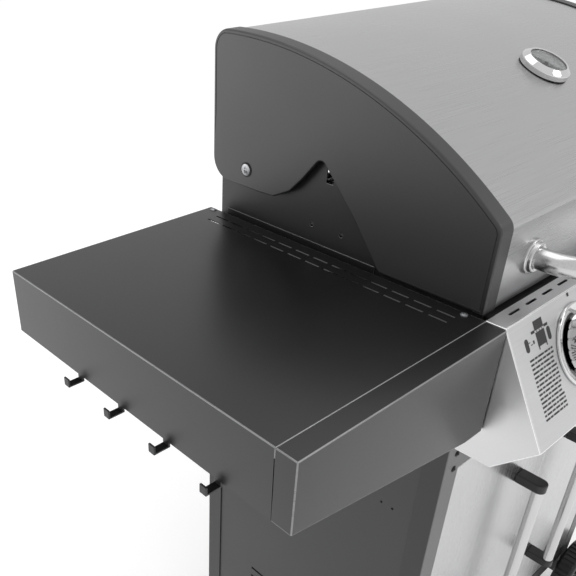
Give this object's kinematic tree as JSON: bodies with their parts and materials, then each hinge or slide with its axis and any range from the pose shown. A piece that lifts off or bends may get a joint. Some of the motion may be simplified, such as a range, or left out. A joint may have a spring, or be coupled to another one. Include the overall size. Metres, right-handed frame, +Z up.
{
  "type": "gas barbecue grill",
  "caption": "Gas barbecue grill on a cabinet cart: curved steel lid with black end caps, slanted control panel with knobs, hinged doors, side shelves and wheels.",
  "frame": {"origin": "on the floor, under the middle of the grill", "axes": "+X to the grill's right along its width, +Y from the control panel to the back, +Z up"},
  "size_m": [1.35, 0.623, 1.1903],
  "materials": {
    "black_powder_coat": "semi-gloss black powder coat",
    "satin_shelf_coat": "satin black powder coat",
    "brushed_stainless": "brushed",
    "polished_stainless": "polished",
    "chrome_plate": "bright",
    "zinc_steel": "zinc plated",
    "heat_steel": "plain pressed sheet",
    "valve_brass": "machined",
    "gas_pipe": "drawn tube",
    "black_plastic": "matte moulded",
    "wheel_plastic": "moulded, ribbed",
    "enamelled_iron": "matte enamel",
    "ceramic": "glazed",
    "black_screw": "black oxide",
    "dial_face": "printed",
    "dial_glass": "clear"
  },
  "bodies": {
    "cart": {"left_posts": "black_powder_coat", "right_posts": "black_powder_coat", "door_frame": "brushed_stainless", "cart_rails": "black_powder_coat", "left_side_panel": "black_powder_coat", "right_side_panel": "black_powder_coat", "rear_panel": "black_powder_coat", "bottom_shelf": "black_powder_coat", "levelling_feet": "black_plastic", "wheel_axle": "zinc_steel", "door_hinge_pins": "zinc_steel", "firebox_tub": "black_powder_coat", "left_end_plate": "black_powder_coat", "right_end_plate": "black_powder_coat", "control_panel": "brushed_stainless", "knob_bezels": "chrome_plate", "gas_manifold": "gas_pipe", "gas_valves": "valve_brass", "burners": "heat_steel", "ignition_electrodes": "ceramic", "flame_tamers": "heat_steel", "left_grate": "enamelled_iron", "right_grate": "enamelled_iron", "warming_rack": "zinc_steel", "left_shelf_top": "satin_shelf_coat", "left_shelf_fascia": "satin_shelf_coat", "left_shelf_frame": "black_powder_coat", "right_shelf_top": "satin_shelf_coat", "right_shelf_fascia": "satin_shelf_coat", "right_shelf_frame": "black_powder_coat", "tool_hooks": "black_powder_coat", "shelf_bolts": "polished_stainless", "frame_screws": "black_screw", "lid_hinge_screws": "polished_stainless"},
    "lid": {"lid_hood": "brushed_stainless", "left_lid_cap": "satin_shelf_coat", "right_lid_cap": "satin_shelf_coat", "lid_handle": "polished_stainless", "handle_flanges": "polished_stainless", "thermometer_bezel": "chrome_plate", "thermometer_dial": "dial_face", "thermometer_glass": "dial_glass"},
    "left_door": {"left_door_skin": "brushed_stainless", "left_door_liner": "brushed_stainless", "left_door_bar": "polished_stainless", "left_door_brackets": "black_plastic"},
    "right_door": {"right_door_skin": "brushed_stainless", "right_door_liner": "brushed_stainless", "right_door_bar": "polished_stainless", "right_door_brackets": "black_plastic"},
    "left_valve": {"left_valve_stem": "valve_brass"},
    "middle_valve": {"middle_valve_stem": "valve_brass"},
    "right_valve": {"right_valve_stem": "valve_brass"},
    "left_knob": {"left_knob": "chrome_plate"},
    "middle_knob": {"middle_knob": "chrome_plate"},
    "right_knob": {"right_knob": "chrome_plate"},
    "front_wheel": {"front_wheel": "wheel_plastic"},
    "rear_wheel": {"rear_wheel": "wheel_plastic"},
    "tray": {"drip_tray": "zinc_steel", "grease_cup": "zinc_steel"}
  },
  "joints": [
    {"name": "lid_hinge", "type": "hinge", "parent": "cart", "child": "lid", "pos_m": [0, 0.18882, 1.0162], "axis": [-1, 0, 0], "range_deg": [0, 78]},
    {"name": "left_door_hinge", "type": "hinge", "parent": "cart", "child": "left_door", "pos_m": [-0.2925, -0.18478, 0.153], "axis": [0, 0, -1], "range_deg": [0, 100]},
    {"name": "right_door_hinge", "type": "hinge", "parent": "cart", "child": "right_door", "pos_m": [0.2925, -0.18478, 0.153], "axis": [0, 0, 1], "range_deg": [0, 100]},
    {"name": "left_knob_turn", "type": "hinge", "parent": "cart", "child": "left_valve", "pos_m": [-0.203, -0.2547, 0.88743], "axis": [0, -0.8668, 0.4986], "range_deg": [0, 180]},
    {"name": "left_knob_push", "type": "slide", "parent": "left_valve", "child": "left_knob", "axis": [0, 0.8668, -0.4986], "range_m": [0, 0.004], "stiffness_N_per_m": 800, "springref_m": -0.004},
    {"name": "middle_knob_turn", "type": "hinge", "parent": "cart", "child": "middle_valve", "pos_m": [0, -0.2547, 0.88743], "axis": [0, -0.8668, 0.4986], "range_deg": [0, 180]},
    {"name": "middle_knob_push", "type": "slide", "parent": "middle_valve", "child": "middle_knob", "axis": [0, 0.8668, -0.4986], "range_m": [0, 0.004], "stiffness_N_per_m": 800, "springref_m": -0.004},
    {"name": "right_knob_turn", "type": "hinge", "parent": "cart", "child": "right_valve", "pos_m": [0.203, -0.2547, 0.88743], "axis": [0, -0.8668, 0.4986], "range_deg": [0, 180]},
    {"name": "right_knob_push", "type": "slide", "parent": "right_valve", "child": "right_knob", "axis": [0, 0.8668, -0.4986], "range_m": [0, 0.004], "stiffness_N_per_m": 800, "springref_m": -0.004},
    {"name": "front_wheel_spin", "type": "hinge", "parent": "cart", "child": "front_wheel", "pos_m": [0.3155, -0.21578, 0.075], "axis": [0, 1, 0], "continuous": true},
    {"name": "rear_wheel_spin", "type": "hinge", "parent": "cart", "child": "rear_wheel", "pos_m": [0.3155, 0.28822, 0.075], "axis": [0, 1, 0], "continuous": true},
    {"name": "tray_slide", "type": "slide", "parent": "cart", "child": "tray", "axis": [0, 1, 0], "range_m": [0, 0.38]}
  ]
}
